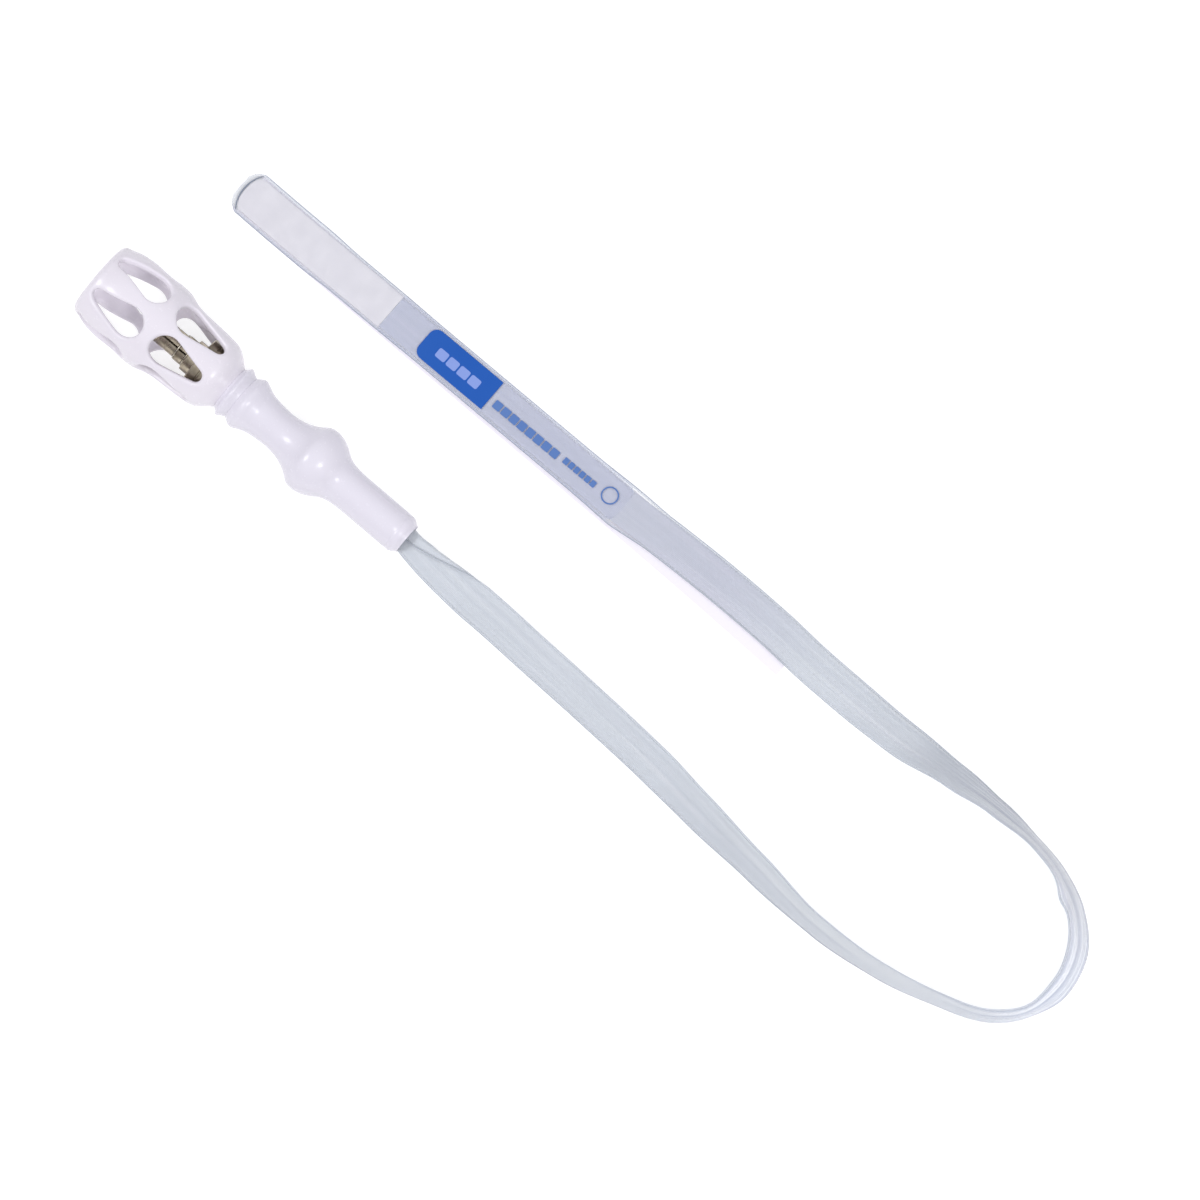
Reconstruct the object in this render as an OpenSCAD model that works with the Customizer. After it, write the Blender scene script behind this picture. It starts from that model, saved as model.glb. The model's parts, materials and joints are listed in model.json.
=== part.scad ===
// Disposable surgical light mat: a slotted heat-shield connector, a flat fibre ribbon in clear
// film, and a flexible light-emitting mat with a label and a release liner at its far end.
// Millimetres, +Z up, lying on a table at z = 0. The origin is under the middle of the connector.
// The connector's axis runs towards +X, from the cage's mouth to the grip's tail, and dips a
// little because it lies on the cage and on the bulb. The ribbon runs out along +X, turns on its
// edge through a U bend, and comes back flat along y = mat_y.

/* [Connector] */
// Length from the cage's mouth to the end of the grip
connector_len = 130; // [128:0.5:134]
// Largest radius of the heat-shield cage
cage_r = 15.5; // [15:0.1:16.5]
// Wall of the cage
cage_wall = 2.3; // [1.8:0.1:2.6]
// Number of slots in each of the two rows round the cage
slot_count = 6; // [5:1:6]
// Half width of a slot at its wide end
slot_wide_r = 5.4; // [4:0.1:5.5]
// Turn of the slots round the axis, from straight up
slot_turn = 28; // [0:1:60]
// Radius of the groove between the cage and the collar ring
groove_r = 7.7; // [7.2:0.1:8.2]
// Radius of the collar ring and of the grip's front edge
ridge_r = 9.4; // [8.8:0.1:10]
// Radius of the grip's waist
waist_r = 6.7; // [6.5:0.1:7.2]
// Radius of the grip's bulb
bulb_r = 11.8; // [11:0.1:12.5]
// Radius of the grip's tail
tail_r = 6.8; // [6.6:0.1:7.2]
// Bore through the grip
grip_bore_r = 5.2; // [4.8:0.1:5.2]

/* [Light socket] */
// Bore that takes the light cable's tip
socket_bore_r = 3.5; // [3.2:0.05:3.6]
// Outside radius of the slit collet
collet_r = 4.3; // [4.2:0.05:4.4]
// Width of the slits in the collet
slit_w = 0.7; // [0.4:0.1:1]
// Radius of the metal hub's flange
hub_r = 9.3; // [8.5:0.1:9.5]
// Outside radius of the ferrule on the fibre bundle
ferrule_r = 3; // [2.8:0.05:3.05]
// Radius of the round fibre bundle
bundle_r = 2.2; // [1.8:0.05:2.3]

/* [Ribbon and mat] */
// Width of the clear sleeve along the ribbon
ribbon_w = 13.4; // [12:0.1:14]
// Width of the clear sleeve at the mat
mat_w = 14.4; // [13.4:0.1:15]
// Width of the light-emitting panel
panel_w = 12.7; // [12:0.1:13]
// Width of the release liner
liner_w = 15; // [14.4:0.1:15.5]
// Distance of the mat from the connector's axis, to the side
mat_y = 54; // [53:0.5:55]
// How far the tip of the mat curls up
tip_curl = 2.4; // [0:0.1:4]

/* [Hidden] */
$fn = 64;

// ---- places along the connector's axis, from the cage's mouth --------------------------------
cage_end = 55.2;                  // the cage's rear face, in the first groove
collar_start = 55.5;
collar_end = 59.8;
grip_start = 60.1;
bulb_x = 91;
cage_floor = 48.5;                // front face of the cage's rear wall
collet_start = 24;
collet_end = 42;
socket_depth = 13;                // straight length of the bore for the light cable's tip
fibre_face = 38.2;                // polished end of the fibres, at the foot of the socket
hub_start = 42.05;
clip_x = 66.4;                    // the clip behind the grip's front shoulder
clip_t = 0.8;
collar_on_ferrule = 69;
ferrule_end = 78;
plug_start = connector_len - 18;
plug_end = connector_len - 6;
running_gap = 0.08;               // between the turning socket and the grip
close_gap = 0.05;                 // between pieces that are fixed together

cage_bore_r = 6.5;                // in the cage's rear wall, round the hub's neck
tail_pin_r = 4.15;                // the hub's tail, which turns in the grip
clip_groove_r = 3.6;

// ---- outlines --------------------------------------------------------------------------------
// Points along a smooth line through the key points, steps to each span
function spline_tangent(p, i) =
    i == 0 ? (p[1] - p[0]) / norm(p[1] - p[0])
    : i == len(p) - 1 ? (p[i] - p[i - 1]) / norm(p[i] - p[i - 1])
    : (p[i + 1] - p[i - 1]) / (norm(p[i + 1] - p[i]) + norm(p[i] - p[i - 1]));
function spline_at(p, i, u) =
    let (d = norm(p[i + 1] - p[i]),
         a = spline_tangent(p, i) * d,
         b = spline_tangent(p, i + 1) * d)
    p[i] * (1 + u * u * (2 * u - 3)) + a * (u * (1 - u) * (1 - u))
    + p[i + 1] * (u * u * (3 - 2 * u)) - b * (u * u * (1 - u));
function smooth(p, steps) =
    [for (i = [0 : len(p) - 2]) for (k = [0 : steps - 1]) spline_at(p, i, k / steps), p[len(p) - 1]];
// A quarter round from angle a to angle b about a centre
function arc(cx, cy, r, a, b, steps) =
    [for (k = [0 : steps]) [cx + r * cos(a + (b - a) * k / steps), cy + r * sin(a + (b - a) * k / steps)]];

rim_round = 2.6;                  // rounding of the cage's mouth
rim_r = cage_r - 2.1;             // radius just behind the rounded mouth
shoulder_r = cage_r - 3.3;        // radius where the cage rounds in to its rear
cage_side = smooth([[rim_round, rim_r], [6.5, cage_r - 0.8], [11, cage_r - 0.15], [16, cage_r],
                    [22, cage_r - 0.1], [26.5, cage_r - 0.4], [30, cage_r - 1.1],
                    [36, cage_r - 1.9], [45, shoulder_r + 0.6], [49.2, shoulder_r - 0.1],
                    [51.6, shoulder_r - 1.4], [53.6, groove_r + 1.3], [cage_end, groove_r]], 3);
cage_mouth = arc(rim_round, rim_r - rim_round, rim_round, 180, 90, 5);
cage_inside = smooth([[1.8, rim_r - rim_round - 1], [5, rim_r - cage_wall + 0.3],
                      [11, cage_r - cage_wall - 0.2], [18, cage_r - cage_wall],
                      [26, cage_r - cage_wall - 0.4], [33, cage_r - cage_wall - 1.7],
                      [45, cage_r - cage_wall - 2.8], [cage_floor, cage_r - cage_wall - 3.4]], 3);
grip_side = smooth([[grip_start, groove_r + 0.2], [62.3, ridge_r - 0.1], [63.4, ridge_r],
                    [65.4, ridge_r - 0.9], [68, ridge_r - 1.9], [72, waist_r + 0.2],
                    [76, waist_r], [80, waist_r + 0.4], [83.4, waist_r + 1.5],
                    [86, bulb_r - 2.2], [88.3, bulb_r - 0.5], [bulb_x, bulb_r],
                    [94, bulb_r - 0.5], [97, bulb_r - 1.9], [99.4, bulb_r - 3.5],
                    [101.6, tail_r + 0.6], [105, tail_r + 0.1], [110, tail_r]], 3);
tail_round = 3.4;
grip_tail = arc(connector_len - tail_round, tail_r - tail_round, tail_round, 90, 40, 4);
collar_side = [[collar_start, groove_r], [56.7, ridge_r - 0.4], [57.2, ridge_r], [57.7, ridge_r - 0.3],
               [collar_end, groove_r + 0.2]];

// ---- how the connector lies ------------------------------------------------------------------
// The lie angle brings the bulb and the cage's swell down to the table together
swell_x = 26;
swell_r = cage_r - 0.25;
lie = asin((swell_r - bulb_r) / (bulb_x - swell_x));
tail_lip = [connector_len, grip_bore_r + 0.1];
body_side = concat(cage_mouth, cage_side, grip_side, grip_tail, [tail_lip]);
front_x = min([for (p = body_side) p[0] * cos(lie) - p[1] * sin(lie)]);
back_x = max([for (p = body_side) p[0] * cos(lie) + p[1] * sin(lie)]);
low_z = min([for (p = body_side) -p[0] * sin(lie) - p[1] * cos(lie)]);
axis_start = [-(front_x + back_x) / 2, 0, -low_z];

module on_axis() {
    translate(axis_start) rotate([0, lie, 0]) children();
}
// A round piece about the axis, from an outline of [distance along the axis, radius]
module turned(outline) {
    rotate([0, 90, 0]) rotate([0, 0, 180])
        rotate_extrude($fn = 96) polygon([for (p = outline) [p[1], p[0]]]);
}
module rod(x0, x1, r) {
    translate([x0, 0, 0]) rotate([0, 90, 0]) cylinder(h = x1 - x0, r = r);
}
module pipe(x0, x1, r_out, r_in) {
    difference() {
        rod(x0, x1, r_out);
        rod(x0 - 1, x1 + 1, r_in);
    }
}

// ---- the route of the ribbon -----------------------------------------------------------------
// Each point is [x, y, height of the lower edge over the table, roll]. Roll lifts the edge on the
// inside of the U bend. The first point is just behind the end of the round fibre bundle.
route = [[axis_start[0] + (plug_end + 0.4) * cos(lie), 0, 9, 0], [62.5, 0, 8.9, 0], [68, -1.1, 8.6, 4],
         [80, -1.7, 7.2, 12], [97, -1.3, 3.5, 22], [122, -1.8, 0.6, 24], [148, -2.7, 0, 26],
         [173, -4.1, 0, 28], [191, -6, 0, 37], [218, -8.5, 0, 52], [245, -10.5, 0, 67],
         [270, -8.5, 0, 74], [291, -3.4, 0, 79], [305.5, 2.3, 0, 81], [314.7, 11.6, 0, 83],
         [318, 25, 0, 66], [314.2, 38.2, 0, 61], [305, 47.7, 0, 64], [294, 53, 0, 66],
         [282, 55.6, 0, 68], [265, 56.3, 0, 56], [248, 55.5, 0, 41], [225, 54, 0, 15],
         [203, 54, 0, 3], [188, 54.3, 0, 2], [173, 55.2, 0, 0], [150, 55.5, 0, 0],
         [130, 55, 0, 0], [115, 54.3, 0, 0], [110, 54, 0, 0]];
label_end_x = 110;
print_end_x = 54.6;
print_start_x = 26;
panel_end_x = 12;
tip_x = -52;
tip_arc_r = 9.3;
tip_margin = 2.7;                  // clear film past the panel's front end
curl_start_x = -26;
liner_end_x = 182.5;
liner_shift = 0.5;                 // the liner lies off the mat's middle, towards the connector
liner_skew = 0.005;                // and at a slight angle to it

// Layers, as heights over the table in the mat
liner_z = [0, 0.2];
glue_z = [0.22, 0.36];
film_low_z = [0.4, 0.6];
reflector_z = [0.66, 0.82];
panel_z = [0.88, 1.2];
fibre_z = [0.7, 1.14];
film_high_z = [1.26, 1.46];
label_z = [1.5, 1.58];
print_z = [1.6, 1.66];
mid_z = 0.93;                      // middle of the sleeve

// The gathered sleeve at the exit is narrower and, folded on itself, thicker
gather_x = 65;
gather_len = 32;
gather_share = 0.62;
function full_share(x, y) =
    y > mat_y / 2 || x > gather_x + gather_len ? 1
    : gather_share + (1 - gather_share) * max(0, (x - gather_x) / gather_len);

route_points = [for (p = route) [p[0], p[1]]];
route_lifts = [for (p = route) [p[2], p[3]]];
function route_at(i, u) =
    let (p = spline_at(route_points, i, u),
         q = route_lifts[i] * (1 + u * u * (2 * u - 3)) + route_lifts[i + 1] * (u * u * (3 - 2 * u)),
         share = full_share(p[0], p[1]),
         half = ribbon_w / 2 * share)
    [p[0], p[1], film_low_z[0] + max(0, q[0]) + half * sin(q[1]) + (mid_z - film_low_z[0]) * cos(q[1]),
     q[1], share];
ring_step = 6;
ribbon_line = [for (i = [0 : len(route) - 2])
                   let (n = max(1, round(norm(route_points[i + 1] - route_points[i]) / ring_step)))
                   for (k = [0 : n - 1]) route_at(i, k / n)];
function place(q) = [q[0], q[1], q[2]];
// One ring: [centre, sideways, normal, share of the full width, half width]
function ring_of(line, i) =
    let (a = line[max(0, i - 1)], b = line[min(len(line) - 1, i + 1)],
         d = place(b) - place(a), t = d / norm(d),
         s0 = [-t[1], t[0], 0] / norm([t[0], t[1]]), n0 = cross(t, s0), roll = line[i][3],
         s = s0 * cos(roll) + n0 * sin(roll), n = n0 * cos(roll) - s0 * sin(roll))
    [place(line[i]), s, n, line[i][4], ribbon_w / 2];
ribbon_rings = [for (i = [0 : len(ribbon_line) - 1]) ring_of(ribbon_line, i)];

// The mat runs straight back along -X and curls up at its tip
function curl_z(x) = x > curl_start_x ? 0 : tip_curl * pow((curl_start_x - x) / (curl_start_x - tip_x), 2);
function curl_slope(x) =
    x > curl_start_x ? 0 : 2 * tip_curl * (curl_start_x - x) / pow(curl_start_x - tip_x, 2);
// Half width of a layer at x, where the layer's rounded end reaches to x = end
function tip_half(x, full, end) =
    let (d = x - end) d > tip_arc_r ? full : min(full, sqrt(max(0.01, 2 * tip_arc_r * d - d * d)));
function mat_ring(x, full, y, skew, end) =
    let (m = curl_slope(x), n = [m, 0, 1] / norm([m, 0, 1]))
    [[x, y - skew * x, mid_z + curl_z(x)], [0, -1, 0], n, 1, tip_half(x, full, end)];
function mat_rings(x0, x1, full, y = mat_y, skew = 0, end = tip_x) =
    let (inner = [for (x = [100, 60, 26, 12, 0, -26, -30, -34, -38, -42, -45, -47, -49, -50, -51])
                      if (x < x0 - 0.2 && x > x1 + 0.2) x])
    [for (x = concat([x0], inner, [x1])) mat_ring(x, full, y, skew, end)];

// A thin layer through a row of rings, between two heights that are counted from the table in the mat
module layer(rings, z, trim = 0) {
    corners = [for (r = rings)
                   let (half = r[4] * r[3] - trim, lo = (z[0] - mid_z) / r[3], hi = (z[1] - mid_z) / r[3])
                   for (c = [[-half, lo], [half, lo], [half, hi], [-half, hi]])
                       r[0] + r[1] * c[0] + r[2] * c[1]];
    // The upper face, k = 2, is split along the same diagonal as the lower one, so that a twisted
    // layer keeps its thickness
    sides = [for (i = [0 : len(rings) - 2]) for (k = [0 : 3])
                 let (a = 4 * i + k, b = 4 * i + (k + 1) % 4)
                 for (f = k == 2 ? [[a, b, a + 4], [b, b + 4, a + 4]] : [[a, b, b + 4], [a, b + 4, a + 4]])
                     f];
    last = 4 * (len(rings) - 1);
    polyhedron(corners, concat([[3, 2, 1], [3, 1, 0]], sides,
                               [[last, last + 1, last + 2], [last, last + 2, last + 3]]));
}

sleeve_rings = concat(ribbon_rings, mat_rings(label_end_x, tip_x + 0.3, mat_w / 2));

// ---- slots -----------------------------------------------------------------------------------
// Outline of a slot with a round end of radius ra at xa and one of rb at xb
function slot_outline(xa, ra, xb, rb) =
    let (lean = asin((rb - ra) / (xb - xa)))
    concat(arc(xa, 0, ra, 90 + lean, 270 - lean, 12), arc(xb, 0, rb, -90 - lean, 90 + lean, 16));
slot_front = [[2.9, 2.3], [22.8, slot_wide_r]];      // [outer end, end radius] at each end
slot_back = [[27.5, slot_wide_r - 0.1], [47.2, 2.4]];
module slot(row) {
    xa = row[0][0] + row[0][1];
    xb = row[1][0] - row[1][1];
    linear_extrude(height = cage_r + 2)
        polygon(slot_outline(xa, row[0][1], xb, row[1][1]));
}

// ---- the connector's pieces ------------------------------------------------------------------
module heat_shield_cage() {
    color([0.93, 0.91, 0.95]) on_axis() difference() {
        turned(concat([[1.8, rim_r - rim_round - 1], [0, rim_r - rim_round - 0.9]], cage_mouth, cage_side,
                      [[cage_end, cage_bore_r], [cage_floor, cage_bore_r]],
                      [for (i = [len(cage_inside) - 1 : -1 : 1]) cage_inside[i]]));
        for (k = [0 : slot_count - 1]) rotate([slot_turn + k * 360 / slot_count, 0, 0]) {
            slot(slot_front);
            slot(slot_back);
        }
    }
}

spring_x = [34.8, 38.3];                             // the two wire rings round the collet
spring_wire_r = 0.3;
step_r = [collet_r, collet_r + 0.5, collet_r + 1.5]; // the collet grows in steps towards its foot
socket_foot = collet_start + 0.6 + socket_depth;
module socket_collet() {
    foot_bore_r = ferrule_r + close_gap;
    color([0.62, 0.58, 0.52]) on_axis() difference() {
        turned([[collet_start + 0.6, socket_bore_r], [collet_start, socket_bore_r + 0.5],
                [collet_start + 0.4, step_r[0]], [spring_x[0] - 0.35, step_r[0]],
                [spring_x[0] - 0.35, step_r[0] - 0.2], [spring_x[0] + 0.35, step_r[0] - 0.2],
                [spring_x[0] + 0.35, step_r[1]], [spring_x[1] - 0.35, step_r[1]],
                [spring_x[1] - 0.35, step_r[0]], [spring_x[1] + 0.35, step_r[0]],
                [spring_x[1] + 0.35, step_r[2]], [collet_end, step_r[2]],
                [collet_end, foot_bore_r], [socket_foot, foot_bore_r], [socket_foot, socket_bore_r]]);
        for (k = [0 : 3]) rotate([9 + 90 * k, 0, 0])
            translate([collet_start - 1, -slit_w / 2, 0])
                cube([socket_depth + 2, slit_w, collet_r + 3]);
    }
}

module collet_springs() {
    color([0.75, 0.72, 0.66]) on_axis() {
        translate([spring_x[0], 0, 0]) rotate([0, 90, 0])
            rotate_extrude() translate([step_r[0] - 0.2 + spring_wire_r + close_gap, 0])
                circle(r = spring_wire_r, $fn = 24);
        translate([spring_x[1], 0, 0]) rotate([0, 90, 0])
            rotate_extrude() translate([step_r[0] + spring_wire_r + close_gap, 0])
                circle(r = spring_wire_r, $fn = 24);
    }
}

module socket_hub() {
    neck_r = cage_bore_r - close_gap;
    bore_r = ferrule_r + running_gap;
    color([0.55, 0.5, 0.44]) on_axis()
        turned([[hub_start, bore_r], [hub_start, hub_r - 0.6], [hub_start + 0.6, hub_r],
                [cage_floor, hub_r], [cage_floor, neck_r], [cage_end - 0.1, neck_r],
                [cage_end - 0.1, tail_pin_r], [clip_x, tail_pin_r], [clip_x, clip_groove_r],
                [clip_x + clip_t, clip_groove_r], [clip_x + clip_t, tail_pin_r],
                [clip_x + 1.6, tail_pin_r], [clip_x + 1.6, bore_r]]);
}

module hub_clip() {
    color([0.35, 0.35, 0.37]) on_axis() difference() {
        pipe(clip_x + close_gap, clip_x + clip_t - close_gap, grip_bore_r - 0.2, clip_groove_r + 0.03);
        translate([clip_x - 1, -1.6, 0]) cube([3, 3.2, grip_bore_r + 1]);
    }
}

module collar_ring() {
    bore_r = tail_pin_r + running_gap;
    color([0.93, 0.91, 0.95]) on_axis()
        turned(concat([[collar_start, bore_r]], collar_side, [[collar_end, bore_r]]));
}

module grip_body() {
    front_bore_r = tail_pin_r + running_gap;
    color([0.94, 0.92, 0.96]) on_axis()
        turned(concat([[grip_start, front_bore_r]], grip_side, grip_tail,
                      [tail_lip, [connector_len, grip_bore_r],
                       [clip_x - 0.15, grip_bore_r], [clip_x - 0.15, front_bore_r]]));
}

module bundle_ferrule() {
    color([0.72, 0.72, 0.74]) on_axis() difference() {
        union() {
            rod(fibre_face, ferrule_end, ferrule_r);
            rod(collar_on_ferrule, collar_on_ferrule + 2.4, grip_bore_r - close_gap);
        }
        rod(fibre_face - 1, ferrule_end + 1, bundle_r + close_gap);
    }
}

module fibre_bundle() {
    color([0.86, 0.88, 0.9]) on_axis() rod(fibre_face, plug_end, bundle_r);
}

module bundle_sleeve() {
    color([0.2, 0.2, 0.22]) on_axis()
        pipe(ferrule_end + 0.2, plug_start - 0.2, bundle_r + 0.6, bundle_r + close_gap);
}

module exit_plug() {
    color([0.9, 0.89, 0.86]) on_axis()
        pipe(plug_start, plug_end, grip_bore_r - close_gap, bundle_r + close_gap);
}

// ---- the ribbon and the mat ------------------------------------------------------------------
edge_weld = 0.7;                  // film welded together outside the fibres, each side
module fibre_ribbon() {
    color([0.8, 0.82, 0.87])
        layer(concat(ribbon_rings, mat_rings(label_end_x, panel_end_x + 0.3, ribbon_w / 2)),
              fibre_z, edge_weld);
}
module sleeve_film_bottom() {
    color([0.84, 0.87, 0.92, 0.6]) layer(sleeve_rings, film_low_z);
}
module sleeve_film_top() {
    color([0.84, 0.87, 0.92, 0.6]) layer(sleeve_rings, film_high_z);
}

panel_tip_x = tip_x + tip_margin;
module panel_layer(z) {
    layer(mat_rings(panel_end_x, panel_tip_x, panel_w / 2, end = panel_tip_x - 1), z);
}
module light_panel() {
    color([0.9, 0.89, 0.92]) panel_layer(panel_z);
}
module reflector_backing() {
    color([0.95, 0.95, 0.96]) panel_layer(reflector_z);
}
module tip_seal() {
    color([0.5, 0.55, 0.65])
        layer(mat_rings(panel_tip_x - 0.3, tip_x + 0.4, mat_w / 2), fibre_z);
}
module adhesive_strip() {
    color([0.9, 0.9, 0.85]) layer(mat_rings(label_end_x, tip_x + 1, panel_w / 2), glue_z);
}
module release_liner() {
    color([0.95, 0.93, 0.97])
        layer(mat_rings(liner_end_x, tip_x + 0.8, liner_w / 2, mat_y - liner_shift, liner_skew), liner_z);
}
module label_film() {
    color([0.85, 0.88, 0.93, 0.5])
        layer(mat_rings(label_end_x, panel_end_x + 2, mat_w / 2 - 0.6), label_z);
}
module label_print() {
    color([0.14, 0.34, 0.71])
        layer(mat_rings(print_end_x, print_start_x, panel_w / 2 - 0.7, mat_y + 0.15), print_z);
}

heat_shield_cage();
socket_collet();
collet_springs();
socket_hub();
hub_clip();
collar_ring();
grip_body();
bundle_ferrule();
fibre_bundle();
bundle_sleeve();
exit_plug();
fibre_ribbon();
sleeve_film_bottom();
sleeve_film_top();
tip_seal();
light_panel();
reflector_backing();
adhesive_strip();
release_liner();
label_film();
label_print();
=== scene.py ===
import json
import math
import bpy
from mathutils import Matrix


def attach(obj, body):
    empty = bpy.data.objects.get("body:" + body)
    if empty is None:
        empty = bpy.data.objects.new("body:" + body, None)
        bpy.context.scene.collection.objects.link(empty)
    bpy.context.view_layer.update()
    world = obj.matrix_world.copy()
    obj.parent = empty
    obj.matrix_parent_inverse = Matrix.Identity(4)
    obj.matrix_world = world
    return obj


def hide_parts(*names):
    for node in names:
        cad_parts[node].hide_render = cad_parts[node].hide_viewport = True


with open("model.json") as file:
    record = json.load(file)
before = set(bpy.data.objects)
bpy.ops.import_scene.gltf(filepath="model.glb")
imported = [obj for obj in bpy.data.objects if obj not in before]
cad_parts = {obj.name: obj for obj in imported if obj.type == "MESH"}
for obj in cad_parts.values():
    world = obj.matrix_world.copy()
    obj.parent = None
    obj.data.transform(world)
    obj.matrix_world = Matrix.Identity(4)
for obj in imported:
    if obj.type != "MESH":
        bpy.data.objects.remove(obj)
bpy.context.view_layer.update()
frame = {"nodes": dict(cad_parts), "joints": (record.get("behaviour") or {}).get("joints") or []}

from types import SimpleNamespace

import bmesh
import bpy
from mathutils import Matrix, Vector

# Disposable surgical light mat: a slotted heat-shield connector, a flat ribbon of light fibres in
# a clear sleeve, and a light-emitting mat with a label and a release liner. Sizes below are in
# millimetres, and MM turns them into the frame's metres.
MM = 0.001

# ---- how the connector lies ----
swivel = next(joint for joint in frame["joints"] if joint["name"] == "cage_swivel")
AXIS = Vector(swivel["axis"]).normalized()
SWIVEL_X = 62                      # the joint's place along the connector, from the cage's mouth
CONNECTOR = Matrix.Translation(Vector(swivel["pos_m"]) - AXIS * SWIVEL_X * MM) @ Matrix(
    ((AXIS.x, 0, -AXIS.z), (0, 1, 0), (AXIS.z, 0, AXIS.x))
).to_4x4()


def on_axis(x):
    """A place on the connector's axis, in millimetres of the row frame."""
    return CONNECTOR @ Vector((x * MM, 0, 0)) / MM


# ---- camera ----
def add_camera():
    """A long lens from high up, on the side of +X and -Y, as in the photograph."""
    azimuth, elevation = math.radians(40.4), math.radians(80)
    distance, picture_width, sensor = 10, 0.384, 36  # metres, metres, millimetres
    target = Vector((0.1237, 0.0262, 0))
    back = Vector((math.sin(azimuth) * math.cos(elevation),
                   -math.cos(azimuth) * math.cos(elevation), math.sin(elevation)))
    data = bpy.data.cameras.new("camera")
    data.sensor_width = sensor
    data.lens = sensor * distance / picture_width
    data.clip_end = 40
    camera = bpy.data.objects.new("camera", data)
    bpy.context.scene.collection.objects.link(camera)
    camera.location = target + back * distance
    camera.rotation_euler = (-back).to_track_quat("-Z", "Y").to_euler()
    bpy.context.scene.camera = camera


add_camera()


# ---- meshes ----
def add_mesh(name, points, faces, material, body, stands_for=(), place=None, sharp=50, uvs=None):
    """A piece from points in millimetres. Points that coincide are joined, and edges that turn by
    more than sharp degrees stay sharp."""
    mesh = bpy.data.meshes.new(name)
    mesh.from_pydata([Vector(p) * MM for p in points], [], faces)
    if uvs is not None:
        layer = mesh.uv_layers.new(name="flat")
        for loop in mesh.loops:
            layer.data[loop.index].uv = uvs[loop.vertex_index]
    if place is not None:
        mesh.transform(place)
    shape = bmesh.new()
    shape.from_mesh(mesh)
    bmesh.ops.remove_doubles(shape, verts=shape.verts, dist=1e-6)
    bmesh.ops.recalc_face_normals(shape, faces=shape.faces)
    for face in shape.faces:
        face.smooth = True
    for edge in shape.edges:
        edge.smooth = len(edge.link_faces) == 2 and edge.calc_face_angle(0) < math.radians(sharp)
    shape.to_mesh(mesh)
    shape.free()
    mesh.materials.append(material)
    piece = bpy.data.objects.new(name, mesh)
    bpy.context.scene.collection.objects.link(piece)
    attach(piece, body)
    if stands_for:
        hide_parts(*stands_for)
    return piece


def spline_at(points, i, u):
    """A point on the smooth line through points, u of the way from point i to the next."""
    def tangent(k):
        if k == 0:
            return (points[1] - points[0]).normalized()
        if k == len(points) - 1:
            return (points[k] - points[k - 1]).normalized()
        before, after = points[k] - points[k - 1], points[k + 1] - points[k]
        return (before + after) / (before.length + after.length)

    span = (points[i + 1] - points[i]).length
    return (points[i] * (1 + u * u * (2 * u - 3)) + tangent(i) * span * (u * (1 - u) * (1 - u))
            + points[i + 1] * (u * u * (3 - 2 * u)) - tangent(i + 1) * span * (u * u * (1 - u)))


def smooth(points, steps=6):
    """A smooth line of (x, y) through points."""
    points = [Vector(p) for p in points]
    line = [spline_at(points, i, k / steps) for i in range(len(points) - 1) for k in range(steps)]
    return [(p.x, p.y) for p in line + [points[-1]]]


def arc(x, y, radius, start, end, steps):
    """Points on an arc, with angles in degrees."""
    angles = [math.radians(start + (end - start) * k / steps) for k in range(steps + 1)]
    return [(x + radius * math.cos(a), y + radius * math.sin(a)) for a in angles]


def height_of(line, x):
    """The y of a line of points at x."""
    for (x0, y0), (x1, y1) in zip(line, line[1:]):
        if x <= x1:
            return y0 + (y1 - y0) * (x - x0) / (x1 - x0)
    return line[-1][1]


def round_point(x, radius, angle):
    """A point about the axis, at an angle from straight up towards -Y."""
    return (x, -radius * math.sin(angle), radius * math.cos(angle))


def closed_grid(start, around, size):
    """The faces between around loops of size points, the first of them numbered start, where the
    last loop joins the first."""
    faces = []
    for k in range(around):
        this, following = start + k * size, start + (k + 1) % around * size
        for i in range(size):
            j = (i + 1) % size
            faces.append((this + i, this + j, following + j, following + i))
    return faces


def add_turned(name, outline, material, body, stands_for=(), around=96, swell=None, sharp=50):
    """A round piece about the connector's axis from a closed outline of (x, radius)."""
    points = []
    for k in range(around):
        angle = 2 * math.pi * k / around
        for x, radius in outline:
            extra = swell(x, radius, angle) if swell else 0
            points.append(round_point(x, radius + extra, angle))
    faces = closed_grid(0, around, len(outline))
    return add_mesh(name, points, faces, material, body, stands_for, CONNECTOR, sharp)


# ---- materials ----
def linear(hexcolour):
    """A colour given as it looks on screen, in the linear values that shaders take."""
    values = [int(hexcolour[i:i + 2], 16) / 255 for i in (1, 3, 5)]
    return tuple(v / 12.92 if v < 0.04045 else ((v + 0.055) / 1.055) ** 2.4 for v in values) + (1,)


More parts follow.
